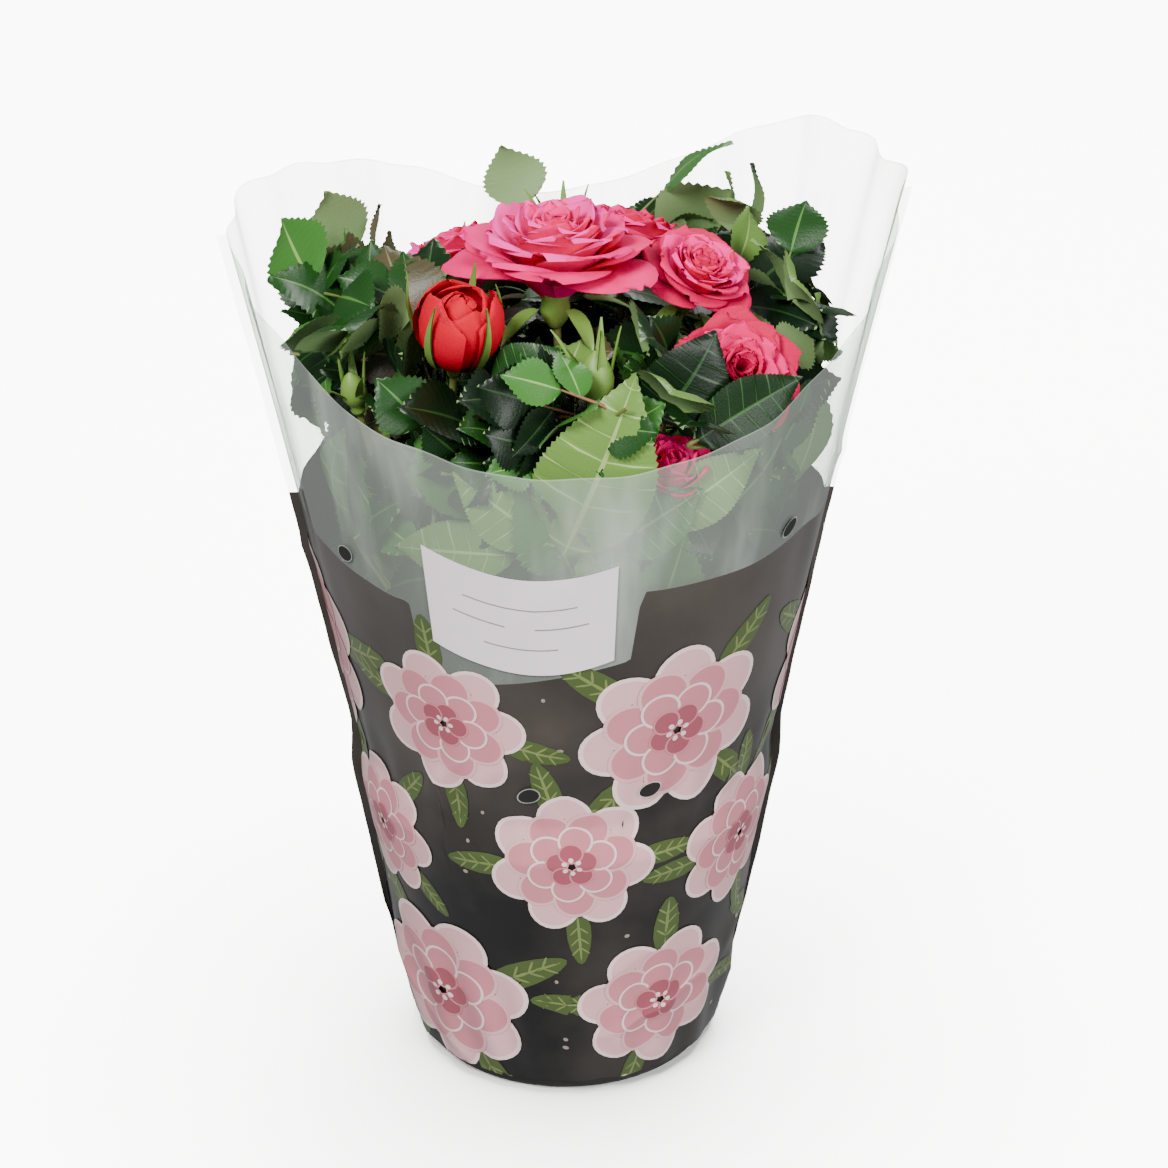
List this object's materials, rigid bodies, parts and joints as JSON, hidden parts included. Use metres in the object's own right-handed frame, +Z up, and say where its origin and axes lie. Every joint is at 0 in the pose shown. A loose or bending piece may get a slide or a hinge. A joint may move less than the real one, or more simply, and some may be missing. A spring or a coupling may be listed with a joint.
{
  "type": "miniature rose bush in a nursery pot",
  "caption": "Miniature rose bush with leaves, open blooms and buds, in a round plastic pot of soil and a flared sleeve of clear film.",
  "frame": {"origin": "middle of the pot's flat underside", "axes": "+Z up the plant, -Y towards the front as seen in the picture, +X to the right"},
  "size_m": [0.2138, 0.1869, 0.3138],
  "materials": {
    "pot_plastic": "matt",
    "soil": "rough",
    "clear_film": "glossy",
    "cane_bark": "rough",
    "green_bark": "satin",
    "foliage": "satin",
    "pink_petals": "matt",
    "rose_petals": "matt",
    "red_petals": "matt",
    "green_bud": "satin"
  },
  "bodies": {
    "root": {"pot": "pot_plastic", "soil": "soil", "sleeve": "clear_film", "cane_1": "cane_bark", "cane_2": "cane_bark", "cane_3": "cane_bark", "cane_4": "cane_bark", "bloom_open_front": "pink_petals", "bud_red_front": "red_petals", "bloom_right_upper": "rose_petals", "bloom_right_lower": "rose_petals", "bud_green_front": "green_bud", "bud_green_left": "green_bud", "bloom_small_front": "rose_petals", "bloom_back_left": "pink_petals", "bloom_back_right": "rose_petals", "bud_red_left": "red_petals", "bud_green_back": "green_bud", "bough_low_1": "green_bark", "bough_low_2": "green_bark", "bough_low_3": "green_bark", "bough_low_4": "green_bark", "bough_upper_1": "green_bark", "bough_upper_2": "green_bark", "bough_upper_3": "green_bark", "bough_upper_4": "green_bark", "bough_upper_5": "green_bark", "bough_upper_6": "green_bark", "leaves_low_1": "foliage", "leaves_low_2": "foliage", "leaves_low_3": "foliage", "leaves_low_4": "foliage", "leaves_upper_1": "foliage", "leaves_upper_2": "foliage", "leaves_upper_3": "foliage", "leaves_upper_4": "foliage", "leaves_upper_5": "foliage", "leaves_upper_6": "foliage"}
  },
  "joints": []
}
